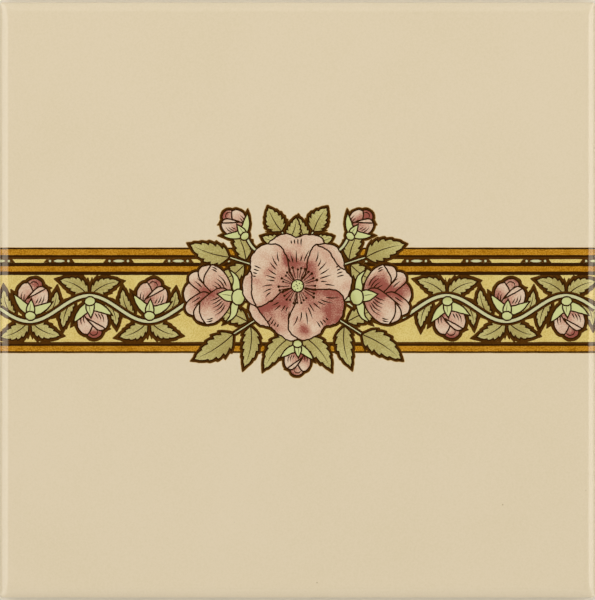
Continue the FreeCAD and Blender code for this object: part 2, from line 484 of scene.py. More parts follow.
def roseCup():
    backPetal = [(-2.6, 8.0), (-3.3, 10.8), (-1.7, 12.9), (0.6, 13.5), (2.7, 12.6), (3.5, 10.6), (2.8, 8.0)]
    innerLeft = [
        (-0.8, 5.8), (-3.6, 7.6), (-5.4, 10.0), (-4.7, 12.2), (-2.7, 12.5), (-1.0, 10.4), (0.2, 8.2),
    ]
    innerRight = [(0.6, 5.8), (3.2, 7.4), (5.7, 9.4), (5.5, 11.9), (3.5, 12.7), (1.2, 11.0), (-0.4, 8.4)]
    outerLeft = [
        (-0.6, 1.3), (-3.9, 2.2), (-6.6, 4.6), (-7.6, 7.6), (-6.6, 9.8),
        (-4.4, 10.2), (-2.6, 8.8), (-0.8, 6.8), (0.8, 4.2), (0.9, 2.0),
    ]
    outerRight = [
        (0.7, 1.2), (4.0, 2.0), (6.9, 4.4), (7.8, 7.2), (6.9, 9.6),
        (4.8, 10.4), (2.4, 9.2), (0.2, 7.2), (-1.7, 4.8), (-1.5, 2.4),
    ]
    turnedLeft = [(-7.5, 7.2, 1), (-6.6, 9.8), (-4.4, 10.2), (-2.4, 8.6, 1), (-4.2, 8.7), (-5.9, 8.0)]
    turnedRight = [(7.7, 7.0, 1), (6.9, 9.6), (4.8, 10.4), (2.2, 9.1, 1), (4.4, 9.0), (6.2, 8.3)]
    leftSepal = [
        (-0.6, 0.5), (-2.4, 1.3), (-4.6, 1.3), (-6.9, 2.8, 1), (-5.2, 0.2), (-2.6, -0.7), (-0.6, -0.5),
    ]
    rightSepal = [(0.6, 0.5), (2.5, 1.2), (4.8, 1.1), (7.1, 2.4, 1), (5.3, 0.0), (2.7, -0.8), (0.6, -0.5)]
    midSepal = [(-1.1, 0.7), (-1.5, 2.5), (-0.2, 5.0, 1), (1.2, 2.7), (1.1, 0.7)]
    hip = [(-1.6, -1.6), (-2.0, -0.2), (-1.0, 1.0), (1.0, 1.0), (2.0, -0.2), (1.6, -1.6), (0, -2.2)]
    sepalFold = 0.15
    return [
        colour(backPetal, "petal", 1.0, 0, 3),
        colour(innerLeft, "petal", 0.9, 6, 2),
        colour(innerRight, "petal", 0.85, 6, 3),
        *fan(3, [(1.0, 9.2), (1.9, 10.2), (2.7, 11.2)], [(0.8, -0.32), (0.8, -0.48), (0.8, -0.56)]),
        *fan(2, [(-1.5, 9.0), (-2.3, 10.0), (-2.9, 11.0)], [(-0.8, -0.4), (-0.8, -0.48), (-0.8, -0.48)]),
        colour(outerLeft, "petal", 0.8, 8, 3),
        colour(turnedLeft, "petal", 0.1, 0, 3),
        *fan(4, [(-1.1, 4.2), (-1.9, 5.3), (-2.4, 6.5)], [(-0.45, -0.47), (-0.7, -0.5), (-0.9, -0.4)]),
        *fan(2, [(-6.4, 5.6), (-6.8, 6.4), (-6.9, 7.1)], (0.6, 0)),
        colour(outerRight, "petal", 0.85, 8, 4),
        colour(turnedRight, "petal", 0.1, 0, 3),
        *fan(5, [(0.4, 4.2), (1.2, 5.4), (1.7, 6.6)], [(0.5, -0.38), (0.7, -0.5), (0.9, -0.42)]),
        *fan(2, [(6.6, 5.4), (7.0, 6.2), (7.1, 7.0)], (-0.6, 0)),
        colour(leftSepal, "sepal", 0.5, 0, 3),
        colour(rightSepal, "sepal", 0.5, 0, 3),
        colour(midSepal, "sepal", 0.5, 0, 2),
        stroke([(-0.2, 1.4), (-0.25, 2.6), (-0.2, 3.8)], sepalFold),
        colour(hip, "sepal", 0.85, 6, 2),
    ]


# Open rose from the front. Shares are of its radius, and for angles of a petal's half angle.

rose = {
    "at": (0.0, 3.6),
    "radius": 13.8,
    "halfAngle": 47.0,  # in degrees, so that neighbours overlap
    "unlike": 0.03,  # how much the petals differ
    "unlikeTurn": 4.0,  # and how far one is turned from its place, in degrees
    "ruffle": 0.16,  # how far a petal's rim goes in and out, in millimetres
    "perSpan": 7,
    "knots": [  # from the heart round one petal
        (0.05, 0.0), (0.30, -0.86), (0.60, -1.05), (0.84, -0.94), (0.985, -0.60), (0.99, -0.24),
        (0.915, 0.02), (0.985, 0.26), (0.995, 0.60), (0.85, 0.95), (0.60, 1.05), (0.30, 0.86),
    ],
    # from the back one to the front one: place round the flower, depth, dark knot, knots of a turned rim
    "petals": [
        (0, 0.75, 0, None),
        (2, 1.2, 2, (3, 6)),
        (4, 0.75, 0, (6, 9)),
        (1, 0.8, 0, (6, 9)),
        (3, 1.2, 10, None),
    ],
    "rim": 0.17,  # widest place of a turned rim
    "rimFullness": 0.8,
    "rimDepth": 0.3,
    "outer": 9,  # strokes out from the heart on each petal
    "outerApart": 0.18,
    "outerStart": 0.42,
    "outerLater": 0.03,  # how much further out each one starts, away from the middle one
    "outerLength": (0.10, 0.24),
    "outerBend": 0.03,  # in radians
    "outerPath": [(0.0, 0.0), (0.5, 0.4), (1.0, 1.0)],  # shares of its length and bend
    "inner": 4,  # and strokes in from the notch of its rim
    "innerApart": 0.09,
    "innerFirst": -0.12,
    "innerPath": [(0.88, -0.01, 0.0), (0.80, 0.0, 0.0), (0.74, 0.02, -0.01)],  # place, its change, bend
    "heart": 0.115,
    "heartSides": 20,
    "pistils": 9,
    "pistil": 0.17,
    "pistilSides": 6,
    "pistilSpread": 0.28,  # share of the heart's radius
    "pistilTurn": 2.4,  # radians from one to the next, so that they fill a spiral
    "stamens": 28,
    "stamen": (0.15, 0.345),  # where it starts and ends
    "thread": (0.1, 0.14),  # half its width at both ends, in millimetres
    "anther": 0.38,
    "antherOver": 0.12,
    "shortest": 0.76,
    "longest": 1.06,
    "outOfStep": 0.07,
    "seed": 5,
}


def rosePetals():
    hand = random.Random(rose["seed"])
    half = math.radians(rose["halfAngle"])
    knots, perSpan = rose["knots"], rose["perSpan"]

    def either(most):
        return hand.uniform(-most, most)

    def spot(share, angle):
        return np.array([math.cos(angle), math.sin(angle)]) * share * rose["radius"]

    def hatching(middle):
        made = []
        for n in range(rose["outer"]):
            side = n - rose["outer"] // 2
            angle = middle + half * (rose["outerApart"] * side + either(rose["unlike"]))
            start = rose["outerStart"] + rose["outerLater"] * abs(side) + either(rose["unlike"])
            long = hand.uniform(*rose["outerLength"])
            bend = rose["outerBend"] * side
            made.append(stroke([spot(start + long * t, angle + bend * u) for t, u in rose["outerPath"]]))
        for n in range(rose["inner"]):
            angle = middle + half * (rose["innerApart"] * n + rose["innerFirst"])
            made.append(stroke([spot(at + step * n, angle + bend) for at, step, bend in rose["innerPath"]]))
        return made

    def turnedRim(outline, first, last):
        edge = outline[first * perSpan:last * perSpan + 1]
        t = np.linspace(0, 1, len(edge))[1:-1, None]
        inner = edge[1:-1] * (1 - rose["rim"] * np.sin(math.pi * t) ** rose["rimFullness"])
        crescent = np.concatenate([edge, inner[::-1]])
        crown = len(edge) // 2
        return shape(crescent, "petal", pen["line"], 0.0, len(crescent) - crown, crown, rose["rimDepth"])

    shapes = []
    for turn, depth, dark, turned in rose["petals"]:
        middle = math.radians(90 + 360 / len(rose["petals"]) * turn + either(rose["unlikeTurn"]))
        points = []
        for share, side in knots:
            share *= 1 + either(rose["unlike"])
            points.append(tuple(spot(share, middle + half * (side + either(rose["unlike"])))))
        pale = (dark + len(knots) // 2) % len(knots)
        petal = colour(points, "petal", depth, dark, pale, perSpan, rose["ruffle"])
        shapes += [petal] + hatching(middle)
        if turned:
            shapes.append(turnedRim(petal["outline"], *turned))
    return shapes


def roseHeart():
    radius = rose["heart"] * rose["radius"]
    shapes = [dot((0, 0), radius, "sepal", pen["line"], rose["heartSides"])]
    for n in range(rose["pistils"]):
        r = radius * rose["pistilSpread"] * math.sqrt(n)
        angle = rose["pistilTurn"] * n
        at = (r * math.cos(angle), r * math.sin(angle))
        shapes.append(dot(at, rose["pistil"], sides=rose["pistilSides"]))
    return shapes


def roseStamen():
    start, end = (share * rose["radius"] for share in rose["stamen"])
    slim, wide = rose["thread"]
    thread = [(start, -slim), (end, -wide), (end, wide), (start, slim)]
    return [shape(thread, "ink"), dot((end + rose["antherOver"], 0), rose["anther"])]


def roseStamens(tree, material):
    return repeated("stamens", roseStamen(), tree, {
        "Count": rose["stamens"], "Centre": (*rose["at"], 0.0), "Seed": rose["seed"], "Material": material,
        "Shortest": rose["shortest"], "Longest": rose["longest"], "Out Of Step": rose["outOfStep"],
    })


# Frieze: half a wave of a vine with a bud in its hollow, turned over at each step

frieze = {
    "units": 10,  # an even number, so that the vine runs on into the next tile
    "perEnd": 3,  # units with a bud at each end of the band; the spray covers the rest
    "wave": 3.3,  # how far the vine swings from the middle of the field
    "vine": 1.1,
    "vineContour": 0.55,
    "vinePoints": 25,
    "budSize": 0.92,
    "budLean": -7,
    "budAt": (0.2, 1.0),  # from the vine's lowest place
    "leaves": [  # base and tip from the same place, width, bow and depth
        ((-0.1, 0.0), (-7.6, -4.0), 4.0, 0.10, 0.5),
        ((0.3, 0.0), (8.0, -3.6), 3.9, -0.10, 0.45),
        ((-4.0, 1.0), (-6.6, 8.4), 3.0, 0.10, 0.4),
        ((4.3, 1.0), (7.0, 8.0), 2.9, -0.10, 0.4),
    ],
}
friezePitch = 2 * halfSide / frieze["units"]


def vineUnit():
    half = friezePitch / 2
    x = np.linspace(-half, half, frieze["vinePoints"])
    path = np.stack([x, -frieze["wave"] * np.cos(np.pi * x / friezePitch)], axis=1)
    vine = frieze["vine"]
    return [
        shape(ribbon(path, vine + 2 * frieze["vineContour"]), "contour", layer=1),
        shape(ribbon(path, vine + pen["line"]), "ink", layer=2),
        shape(ribbon(path, vine - pen["line"]), "stem", layer=3),
    ]


def budUnit():
    low = np.array([0.0, -frieze["wave"]])
    leaves = []
    for base, tip, width, bow, depth in frieze["leaves"]:
        leaves += roseLeaf(low + base, low + tip, width, bow, depth)
    bud = place(roseBud(), low + frieze["budAt"], frieze["budLean"], frieze["budSize"])
    return leaves + [dict(s, layer=4) for s in bud]


def friezeShapes(tree, materials):
    units, perEnd = frieze["units"], frieze["perEnd"]
    x, y = friezePitch / 2 - halfSide, sum(rowSpan(band["friezeRow"])) / 2
    shapes = inRow("vine", vineUnit(), tree, materials["stem"], units, friezePitch, (x, y), True)
    for unit in (0, units - perEnd):
        start = (x + friezePitch * unit, y)
        shapes += inRow("buds", budUnit(), tree, materials["petal"], perEnd, friezePitch, start, True, unit)
    return sorted(shapes, key=lambda s: s["layer"])


# Beads between the bars of the narrow stripe

beads = {
    "lens": (1.5, 0.33),  # half length and half height of the long bead
    "fullness": 0.85,  # its height halfway to its ends
    "lensPerSpan": 3,
    "round": 0.31,
    "roundSides": 10,
    "apart": 2.35,
    "slot": (4.0, 3.3),  # half length of the dark ground at its foot and at its head
}


def beadUnit():
    low, high = rowSpan(band["beadRow"])
    half = (high - low) / 2
    foot, head = beads["slot"]
    long, tall = beads["lens"]
    slim = tall * beads["fullness"]
    lens = [
        (-long, 0, 1), (-long / 2, slim), (0, tall), (long / 2, slim),
        (long, 0, 1), (long / 2, -slim), (0, -tall), (-long / 2, -slim),
    ]
    shapes = [
        shape([(-foot, -half), (foot, -half), (head, half), (-head, half)], "contour"),
        shape(loopThrough(lens, beads["lensPerSpan"]), "stem", layer=1),
    ]
    for x in (-beads["apart"], beads["apart"]):
        shapes.append(dot((x, 0), beads["round"], "stem", sides=beads["roundSides"], layer=1))
    return shapes


def beadShapes(tree, materials):
    start = (-halfSide, sum(rowSpan(band["beadRow"])) / 2)
    return inRow("beads", beadUnit(), tree, materials["stem"], frieze["units"] + 1, friezePitch, start)


# Spray over the middle of the band, the same on both sides of the rose

spraySizes = {
    "sprigs": [  # on the right: foot, tip and width of the end leaf
        ((1.5, 13.0), (7.5, 23.6), 4.6),
        ((10.0, 8.5), (27.5, 14.2), 5.2),
        ((9.0, -4.0), (26.5, -15.2), 5.4),
    ],
    "lowLeaf": ((1.2, -9.0), (8.6, -17.8), 4.6),
    "lowBow": 0.08,
    "budStem": ([(6, 10), (11.0, 13.0), (13.2, 16.2)], 0.9),  # knots and width
    "bud": ((13.2, 16.0), -38),  # place and turn
    "budSize": 0.78,
    "cupStem": ([(8, 0.5), (12, 0.2), (15, 0.6)], 1.2),
    "cup": ((15.6, 0.8), -84),
    "cupSize": 1.0,
    "lowStem": ([(0, -6), (0.2, -9.0), (0.0, -10.9)], 0.95),
    "lowBud": ((0, -10.8), 180),
}


def sprayShapes(stamens):
    back, front = [], []

    def stemOf(name, side=1):
        knots, width = spraySizes[name]
        return stem(np.array([side, 1.0]) * knots, width)

    def flower(name, shapes, size, side=1):
        at, turn = spraySizes[name]
        return place(shapes, np.array([side, 1.0]) * at, turn * side, size, side < 0)

    for side in (1, -1):
        hand = np.array([side, 1.0])
        for foot, tip, width in spraySizes["sprigs"]:
            back += leafSprig(hand * foot, hand * tip, width)
        foot, tip, width = spraySizes["lowLeaf"]
        back += roseLeaf(hand * foot, hand * tip, width, spraySizes["lowBow"] * side)
        back.append(stemOf("budStem", side))
        front += flower("bud", roseBud(), spraySizes["budSize"], side)
        front.append(stemOf("cupStem", side))
        front += flower("cup", roseCup(), spraySizes["cupSize"], side)
    front.append(stemOf("lowStem"))
    front += flower("lowBud", roseBud(), spraySizes["budSize"])
    whole = back + front + place(rosePetals() + roseHeart(), rose["at"]) + stamens
    return [dict(s, contour=s["contour"] * pen["sprayContour"]) for s in whole]


# Painting: the shapes become regions of one flat plan, each later one over the ones before

plan = {
    "tolerance": 0.003,  # points nearer than this are one
    "keep": 0.8,  # an offset point nearer to its outline than this share has crossed over, and is dropped
    "digits": 4,  # of a millimetre, to which points are matched
    "shaded": ("petal", "leaf", "sepal"),  # colours that change across a shape
}


def distanceTo(places, outline):
    ends = np.roll(outline, -1, axis=0) - outline
    apart = places[:, None] - outline[None]
    t = np.clip((apart * ends).sum(2) / np.maximum((ends**2).sum(1), tiny), 0, 1)
    return np.linalg.norm(apart - t[..., None] * ends, axis=2).min(axis=1)


def inside(places, outline):
    x, y = places[:, :1], places[:, 1:]
    ax, ay = outline.T
    bx, by = np.roll(outline, -1, axis=0).T
    left = (bx - ax) * (y - ay) - (x - ax) * (by - ay)
    up = (ay <= y) & (by > y) & (left > 0)
    down = (ay > y) & (by <= y) & (left < 0)
    return up.sum(1) != down.sum(1)


def eased(loop):
    # points at even steps along the loop, with its sharp turns rounded
    ends = np.concatenate([loop, loop[:1]])
    along = np.concatenate([[0], np.cumsum(np.linalg.norm(np.diff(ends, axis=0), axis=1))])
    count = max(int(along[-1] / pen["contourStep"]), pen["contourLeast"])
    steps = np.linspace(0, along[-1], count, endpoint=False)
    loop = np.stack([np.interp(steps, along, ends[:, axis]) for axis in (0, 1)], axis=1)
    for _ in range(pen["contourEase"]):
        loop = (np.roll(loop, 1, axis=0) + 2 * loop + np.roll(loop, -1, axis=0)) / 4
    return loop


def grown(outline, distance):
    # the outline moved out, or in where the distance is negative, by a line of uneven width
    way, reach = outwards(outline)
    uneven = 1 + pen["uneven"] * waver(len(outline), pen["waveStep"], pen["unevenWaves"])
    moved = outline + way * (distance * uneven * reach)[:, None]
    kept = distanceTo(moved, outline) > plan["keep"] * abs(distance)
    if distance < 0:
        kept &= inside(moved, outline)
    return moved[kept]


def bled(edge):
    way, reach = outwards(edge)
    return edge + way * (pen["bleed"] * reach)[:, None]


def regionsOf(groups):
    # loop, paint and shape of all that is painted, in order; the contours of a group lie under all of
    # its colours, and what runs into the bare glaze lies under everything
    bleed, ink, contour = (paints.index(name) for name in ("bleed", "ink", "contour"))
    low, high = rowSpan(len(band["rows"]) - 1)[0], band["top"]
    regions, bleeds = [], []
    for group in groups:
        for s in group:
            if s["contour"]:
                edge = eased(grown(s["outline"], s["contour"]))
                regions.append((edge, contour, None))
                if edge[:, 1].max() > high or edge[:, 1].min() < low:
                    bleeds.append((bled(edge), bleed, None))
        for s in group:
            if s["line"]:
                regions.append((grown(s["outline"], s["line"] / 2), ink, None))
                regions.append((grown(s["outline"], -s["line"] / 2), s["paint"], s))
            else:
                regions.append((s["outline"], s["paint"], s))
    return [r for r in bleeds + regions if len(r[0]) > 2]


def triangulated(points, edges):
    made = delaunay_2d_cdt([Vector(p) for p in points], edges, [], 0, plan["tolerance"])
    return np.array([v[:] for v in made[0]]), np.array(made[2]), made[3]


def merged(verts, faces):
    # points on one spot become one, and triangles that shrink to a line go
    spots, same = np.unique(verts.round(plan["digits"]), axis=0, return_inverse=True)
    faces = same.reshape(-1)[faces]
    whole = (faces != np.roll(faces, 1, axis=1)).all(axis=1)
    return spots, faces[whole]


def loopEdges(loop):
    return loop, [(i, (i + 1) % len(loop)) for i in range(len(loop))]


def joined(parts):
    # several sets of points and edges as one
    points, edges, count = [], [], 0
    for somePoints, someEdges in parts:
        points.append(somePoints)
        edges += [(a + count, b + count) for a, b in someEdges]
        count += len(somePoints)
    return np.concatenate(points), edges


def sidesOf(faces):
    return faces[:, [[0, 1], [1, 2], [2, 0]]].reshape(-1, 2)


def ownersOf(middles, regions):
    # which region shows at each place, or -1 for bare glaze
    owner = np.full(len(middles), -1)
    for k, (loop, paint, source) in enumerate(regions):
        low, high = loop.min(axis=0), loop.max(axis=0)
        near = np.flatnonzero(((middles > low) & (middles < high)).all(axis=1))
        if len(near):
            owner[near[inside(middles[near], loop)]] = k
    return owner


def seenEdges(faces, owner, regions):
    # edges between two triangles that look different
    tone = np.array([-1] + [r[1] for r in regions])
    look = np.array([-1] + [-1 if r[2] is None else k for k, r in enumerate(regions)])
    shaded = np.isin(tone, [paints.index(p) for p in plan["shaded"]])
    sides = np.sort(sidesOf(faces), axis=1)
    whose = np.repeat(owner + 1, 3)
    order = np.lexsort((sides[:, 1], sides[:, 0]))
    sides, whose = sides[order], whose[order]
    twin = (sides[1:] == sides[:-1]).all(axis=1)
    a, b = whose[:-1][twin], whose[1:][twin]
    differs = (tone[a] != tone[b]) | ((look[a] != look[b]) & (shaded[a] | shaded[b]))
    return sides[:-1][twin][differs]


def paintedPlan(groups, ruledLoops, cuts):
    # two passes: the second keeps only the edges that show
    regions = regionsOf(groups)
    fixed = joined([loopEdges(loop) for loop in ruledLoops] + [(np.array(cut), [(0, 1)]) for cut in cuts])
    verts, faces, _ = triangulated(*joined([loopEdges(r[0]) for r in regions] + [fixed]))
    owner = ownersOf(verts[faces].mean(axis=1), regions)
    print("plan: first pass", len(regions), "regions,", len(faces), "triangles")
    used, edges = np.unique(seenEdges(faces, owner, regions), return_inverse=True)
    verts, faces, _ = triangulated(*joined([(verts[used], edges.reshape(-1, 2).tolist()), fixed]))
    verts, faces = merged(verts, faces)
    print("plan: second pass", len(faces), "triangles")
    return verts, faces, ownersOf(verts[faces].mean(axis=1), regions), regions


# The tile itself, on the sizes of the pressed solid

tile = {
    "cornerRadius": 0.7,
    "cushionRun": 2.8,
    "cushionDrop": 0.95,
    "faceCorner": 2.6,  # corner radius where the flat face starts
    "shoulderRadius": 0.45,
    "backBevel": 0.5,
    "backRim": 9.5,
    "grooveWidth": 7.0,
    "grooveDepth": 0.7,
    "grooveDraft": 20.0,
    "grooveCount": 10,
    "cornerSteps": 8,
    "grooveSteps": 10,
    "shoulderSteps": (0.0, 0.04, 0.15, 0.35, 0.65),  # shares of the shoulder's run
    "fallSteps": (0.0, 0.12, 0.26, 0.42, 0.6, 0.8, 1.0),  # and of the fall, from there to the flat face
    "onGroove": 0.01,  # a point this near to a groove's floor lies on it
    "least": 1e-6,  # how far in from the side a triangle of the plan has to be
    "tries": 30,  # for the shoulder's run
    "halvings": 40,  # for a point's distance in from the side
}
cornerGrowth = (tile["faceCorner"] - tile["cornerRadius"]) / tile["cushionRun"]


def fallShare(d):
    return np.clip(1 - d / tile["cushionRun"], 0, 1)


def fallHeight(d):
    return thickness - tile["cushionDrop"] * fallShare(d) ** 2


def fallLean(d):
    slope = 2 * tile["cushionDrop"] / tile["cushionRun"] * fallShare(d)
    return slope / np.sqrt(1 + slope**2)


def shoulderRun():
    # how far in from the side the shoulder's round meets the fall
    reach = 0.0
    for _ in range(tile["tries"]):
        reach = tile["shoulderRadius"] * (1 - fallLean(reach))
    return float(reach)


shoulderEnd = shoulderRun()
shoulderRise = tile["shoulderRadius"] * math.sqrt(1 - fallLean(shoulderEnd) ** 2)
sideTop = float(fallHeight(shoulderEnd)) - shoulderRise


def edgeHeight(d):
    # height of the surface, by the distance in from the side
    r = tile["shoulderRadius"]
    shoulder = sideTop + np.sqrt(np.maximum(r**2 - (r - np.minimum(d, r)) ** 2, 0))
    return np.where(d < shoulderEnd, shoulder, fallHeight(d))


def edgeLean(d):
    # how far the surface leans outwards: 1 on the side, 0 on the flat face
    return np.where(d < shoulderEnd, 1 - d / tile["shoulderRadius"], fallLean(d))


def cornerAt(d):
    return tile["cornerRadius"] + cornerGrowth * np.clip(d, 0, tile["cushionRun"])


def roundedSquare(inset):
    # level line of the edge, whose corners grow rounder towards the face
    radius = cornerAt(inset)
    middle = halfSide - inset - radius
    turns = np.linspace(0, math.pi / 2, tile["cornerSteps"] + 1)
    corner = np.stack([np.cos(turns), np.sin(turns)], axis=1) * radius + middle
    loop = []
    for k in range(4):
        c, s = round(math.cos(k * math.pi / 2)), round(math.sin(k * math.pi / 2))
        loop.append(corner @ np.array([[c, s], [-s, c]]))
    return np.concatenate(loop)


def levelLines():
    insets = [share * shoulderEnd for share in tile["shoulderSteps"]]
    insets += [shoulderEnd + share * (tile["cushionRun"] - shoulderEnd) for share in tile["fallSteps"]]
    return [roundedSquare(inset) for inset in insets]


def insetOf(places):
    # distance in from the side, the way out to it, and how far apart the level lines are in a corner
    a = np.abs(places)
    low, high = np.zeros(len(a)), np.full(len(a), 2 * tile["cushionRun"])
    for _ in range(tile["halvings"]):
        d = (low + high) / 2
        radius = cornerAt(d)
        apart = a - (halfSide - d - radius)[:, None]
        past = np.maximum(apart, 0)
        reach = np.linalg.norm(past, axis=1)
        beyond = reach + np.minimum(apart.max(axis=1), 0) > radius
        low, high = np.where(beyond, low, d), np.where(beyond, d, high)
    way = past / np.maximum(reach, tiny)[:, None]
    growth = np.where(d < tile["cushionRun"], cornerGrowth, 0)
    stretch = (1 + growth) * way.sum(axis=1) - growth
    return d, way * np.where(places < 0, -1, 1), stretch


def grooveUnit():
    # mouth and floor of one groove
    half = tile["grooveWidth"] / 2
    wall = tile["grooveDepth"] * math.tan(math.radians(tile["grooveDraft"]))
    run = halfSide - tile["backRim"] - half
    turns = np.linspace(0, math.pi, tile["grooveSteps"] + 1)
    shapes = []
    for layer, radius in enumerate((half, half - wall)):
        end = np.stack([np.cos(turns) * radius, np.sin(turns) * radius + run], axis=1)
        shapes.append(shape(np.concatenate([end, -end]), "biscuit", layer=layer))
    return shapes


def grooveShapes(tree, materials):
    first = tile["backRim"] + tile["grooveWidth"] / 2 - halfSide
    count, clay = tile["grooveCount"], materials["biscuit"]
    pitch = -2 * first / (count - 1)
    return inRow("grooves", grooveUnit(), tree, clay, count, pitch, (first, 0.0))


def rimOf(faces):
    # vertices round the outside of the top, in order
    sides = set(map(tuple, sidesOf(faces).tolist()))
    follow = {a: b for a, b in sides if (b, a) not in sides}
    rim = [min(follow)]
    while follow[rim[-1]] != rim[0]:
        rim.append(follow[rim[-1]])
    return np.array(rim)


def topOf(verts, faces):
    # the plan laid over the face and its edge, with the normals of the true surface
    rim = rimOf(faces)
    inset, way, stretch = insetOf(verts)
    verts[rim] += way[rim] * inset[rim][:, None]  # the plan's points may stray by its tolerance
    inset[rim] = 0
    lean = edgeLean(inset)
    lean = lean / np.maximum(np.sqrt(lean**2 + stretch**2 * (1 - lean**2)), tiny)
    normals = np.column_stack([way * lean[:, None], np.sqrt(np.maximum(1 - lean**2, 0))])
    return np.column_stack([verts, edgeHeight(inset)]), normals, rim, way[rim]


def backOf(sole, grooves):
    # the back with its grooves, and which of its vertices are the sole's own
    mouths, floors = ([s["outline"] for s in grooves if s["layer"] == layer] for layer in (0, 1))
    verts, faces, origins = triangulated(*joined([loopEdges(loop) for loop in [sole] + mouths + floors]))
    deep = np.zeros(len(verts))
    for floor in floors:
        low, high = floor.min(axis=0) - tile["onGroove"], floor.max(axis=0) + tile["onGroove"]
        near = np.flatnonzero(((verts > low) & (verts < high)).all(axis=1))
        on = inside(verts[near], floor) | (distanceTo(verts[near], floor) < tile["onGroove"])
        deep[near[on]] = tile["grooveDepth"]
    onSole = np.array([min(made) if made and min(made) < len(sole) else -1 for made in origins])
    return np.column_stack([verts, deep]), faces[:, ::-1], onSole


def shadesOf(corners, owner, regions):
    # at each corner of each triangle: how far along its colour it is, and the colour's depth
    shade = np.zeros((len(owner), 3, 3))
    for r in np.unique(owner[owner >= 0]):
        source = regions[r][2]
        if source is None:
            continue
        mine = owner == r
        start = source["outline"][source["darkEnd"]]
        run = source["outline"][source["paleEnd"]] - start
        shade[mine, :, 0] = ((corners[mine] - start) @ run) / (run @ run)
        shade[mine, :, 1] = source["depth"]
    return shade.reshape(-1, 3)


def tileMesh(painted, grooves):
    verts, faces, owner, regions = painted
    onTile = insetOf(verts[faces].mean(axis=1))[0] > tile["least"]
    owner = owner[onTile]
    used, faces = np.unique(faces[onTile], return_inverse=True)
    faces = faces.reshape(-1, 3)
    top, topNormals, rim, way = topOf(np.clip(verts[used], -halfSide, halfSide), faces)
    count = len(rim)
    foot = np.column_stack([top[rim, :2], np.full(count, tile["backBevel"])])
    sole = np.column_stack([top[rim, :2] - way * tile["backBevel"], np.zeros(count)])
    back, under, onSole = backOf(sole[:, :2], grooves)
    inner = onSole < 0
    footAt, soleAt, backAt = len(top), len(top) + count, len(top) + 2 * count
    under = np.where(inner, backAt + np.cumsum(inner) - 1, soleAt + onSole)[under]
    places = np.concatenate([top, foot, sole, back[inner]])
    k = np.arange(count)
    after = (k + 1) % count
    wall = np.stack([rim[after], rim, footAt + k, footAt + after], axis=1)
    bevel = np.stack([footAt + after, footAt + k, soleAt + k, soleAt + after], axis=1)

    mesh = bpy.data.meshes.new("printed_tile")
    mesh.from_pydata(places * mm, [], faces.tolist() + wall.tolist() + bevel.tolist() + under.tolist())
    slots = np.concatenate([
        np.array([paints.index("glaze")] + [r[1] for r in regions])[owner + 1],
        np.full(2 * count, paints.index("side")),
        np.full(len(under), paints.index("biscuit")),
    ])
    mesh.polygons.foreach_set("material_index", slots.astype(np.int32))
    shading = np.zeros((len(mesh.loops), 3))
    shading[:3 * len(faces)] = shadesOf(top[faces, :2], owner, regions)
    mesh.attributes.new("shading", "FLOAT_VECTOR", "CORNER").data.foreach_set("vector", shading.ravel())

    # normals follow the true surface, so that the fine triangles don't show
    flat = np.zeros(3 * len(mesh.polygons))
    mesh.polygons.foreach_get("normal", flat)
    corners = np.stack([after, k, k, after], axis=1).ravel()
    wallNormals = np.column_stack([way, np.zeros(count)])[corners]
    normals = np.concatenate([
        topNormals[faces].reshape(-1, 3),
        wallNormals,
        (wallNormals - (0, 0, 1)) / math.sqrt(2),
        np.repeat(flat.reshape(-1, 3)[-len(under):], 3, axis=0),
    ])
    addBakeMap(mesh, places, len(faces), count)
    print("tile: mesh mended" if mesh.validate() else "tile: mesh sound")
    mesh.polygons.foreach_set("use_smooth", np.ones(len(mesh.polygons), bool))
    mesh.normals_split_custom_set(normals.tolist())
    return mesh


# Where the parts of the surface lie on the map named OFBake, in map widths

bake = {
    "printLow": -21.0,  # the print's zone of the face, which gets most of the map, in millimetres
    "printHigh": 25.5,
    "printScale": 0.0104,  # for each millimetre
    "plainScale": 0.00172,
    "backScale": 0.00122,
    "sideScale": 0.004,
    "gap": 0.008,
    "column": 0.806,  # where the second column starts
}


def bakeCuts():
    # the face is cut where it changes place on the map
    low, high = bake["printLow"], bake["printHigh"]
    end = halfSide + band["overhang"]
    return [((-end, low), (end, low)), ((-end, high), (end, high)), ((0.0, low), (0.0, high))]


